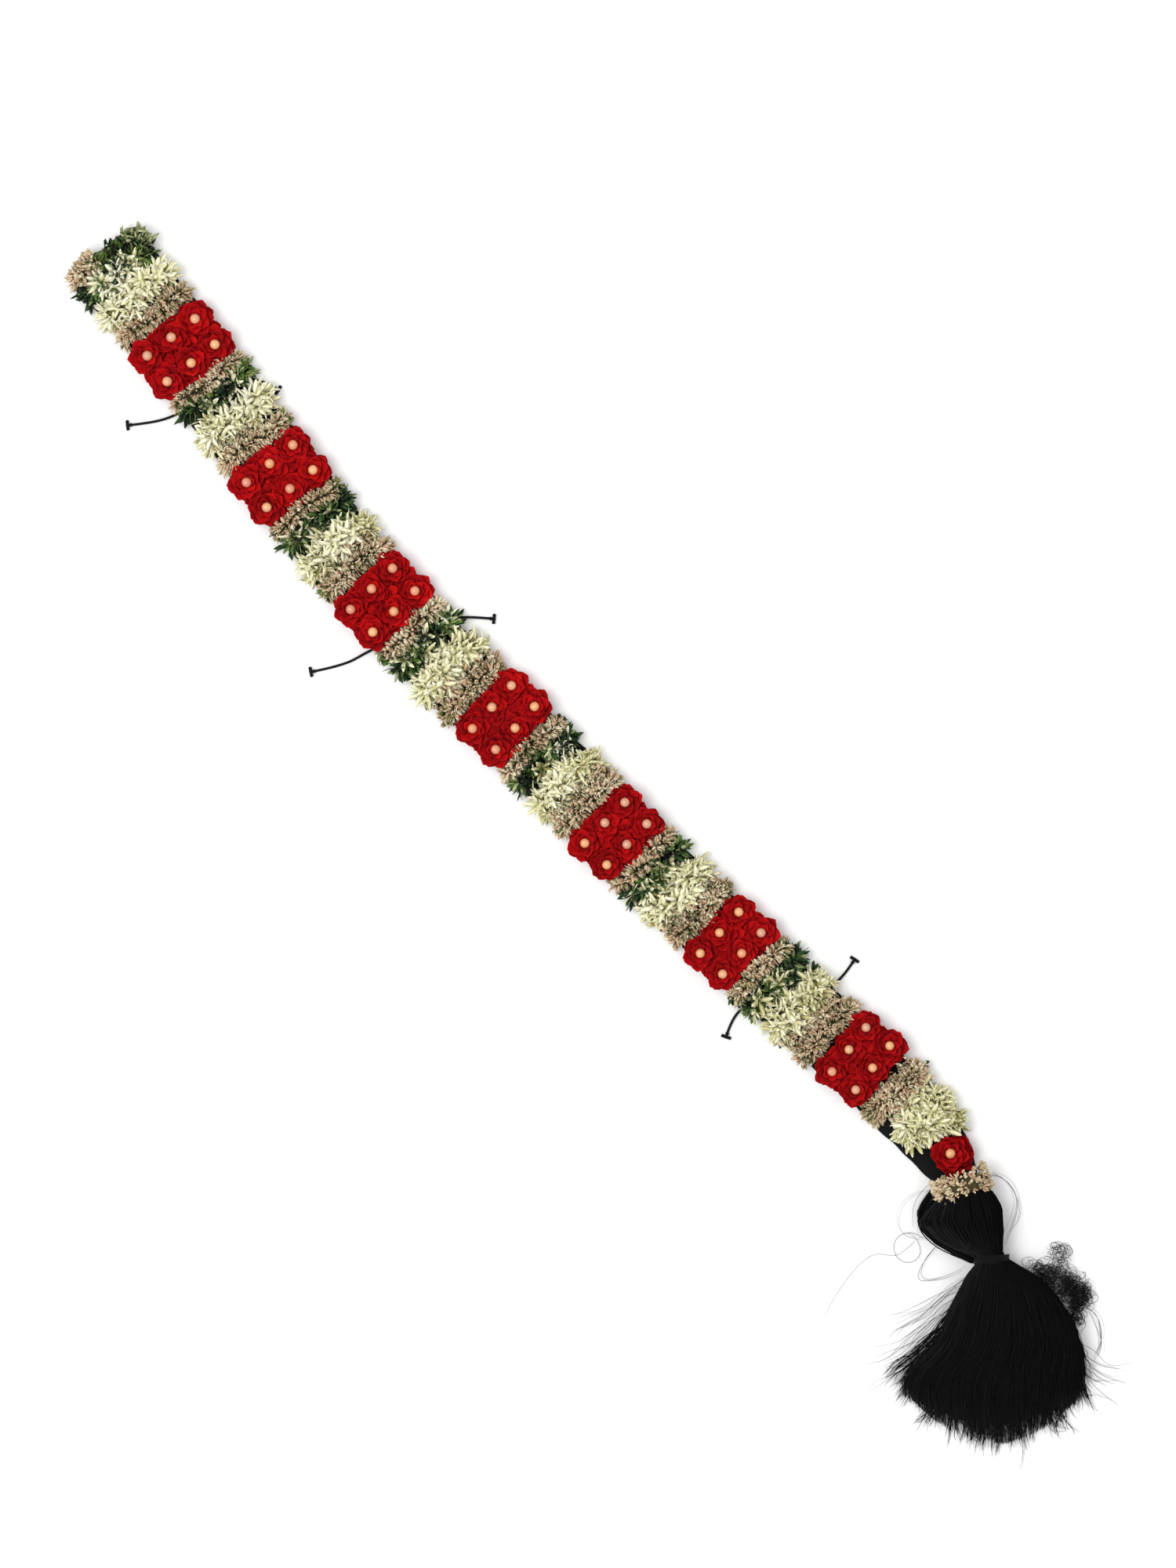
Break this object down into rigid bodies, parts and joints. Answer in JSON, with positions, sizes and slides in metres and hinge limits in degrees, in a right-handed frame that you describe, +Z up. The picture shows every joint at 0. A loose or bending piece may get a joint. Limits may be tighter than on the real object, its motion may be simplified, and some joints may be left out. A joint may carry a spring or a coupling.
{
  "type": "braid flower ornament",
  "caption": "Long flexible hair braid ornament: a cloth strip with red beaded blossoms, bud garlands, elastic ties and a black yarn tassel, lying flat.",
  "frame": {"origin": "on the centre line of the cloth strip, half way down it, at its underside", "axes": "+Y up the strip to its head end, +X to the right seen with the flowers up, +Z up out of the flowers"},
  "size_m": [0.1521, 0.8661, 0.0287],
  "materials": {
    "backing_cloth": "matte woven",
    "red_blossom": "soft velvet",
    "pearl_bead": "pearly gloss",
    "tan_buds": "matte",
    "green_buds": "soft satin",
    "cream_buds": "soft satin",
    "black_yarn": "matte fibre",
    "black_thread": "twisted thread",
    "black_elastic": "braided",
    "crimp_bar": "satin"
  },
  "bodies": {
    "root": {"backing_strip": "backing_cloth", "red_blossoms_1": "red_blossom", "red_blossoms_2": "red_blossom", "red_blossoms_3": "red_blossom", "red_blossoms_4": "red_blossom", "red_blossoms_5": "red_blossom", "red_blossoms_6": "red_blossom", "red_blossoms_7": "red_blossom", "blossom_beads_1": "pearl_bead", "blossom_beads_2": "pearl_bead", "blossom_beads_3": "pearl_bead", "blossom_beads_4": "pearl_bead", "blossom_beads_5": "pearl_bead", "blossom_beads_6": "pearl_bead", "blossom_beads_7": "pearl_bead", "red_blossom_last": "red_blossom", "blossom_bead_last": "pearl_bead", "tan_garland_1": "tan_buds", "tan_garland_2": "tan_buds", "tan_garland_3": "tan_buds", "tan_garland_4": "tan_buds", "tan_garland_5": "tan_buds", "tan_garland_6": "tan_buds", "tan_garland_7": "tan_buds", "tan_garland_8": "tan_buds", "tan_garland_9": "tan_buds", "tan_garland_10": "tan_buds", "tan_garland_11": "tan_buds", "tan_garland_12": "tan_buds", "tan_garland_13": "tan_buds", "tan_garland_14": "tan_buds", "tan_garland_15": "tan_buds", "green_garland_1": "green_buds", "green_garland_2": "green_buds", "green_garland_3": "green_buds", "green_garland_4": "green_buds", "green_garland_5": "green_buds", "green_garland_6": "green_buds", "green_garland_7": "green_buds", "cream_garland_1": "cream_buds", "cream_garland_2": "cream_buds", "cream_garland_3": "cream_buds", "cream_garland_4": "cream_buds", "cream_garland_5": "cream_buds", "cream_garland_6": "cream_buds", "cream_garland_7": "cream_buds", "cream_garland_8": "cream_buds", "tassel_yarn": "black_yarn", "tassel_collar": "tan_buds", "tassel_binding": "black_thread", "tassel_frizz": "black_yarn", "tie_cord_head": "black_elastic", "tie_cord_middle": "black_elastic", "tie_cord_tail": "black_elastic", "tie_bars_head": "crimp_bar", "tie_bars_middle": "crimp_bar", "tie_bars_tail": "crimp_bar"}
  },
  "joints": []
}
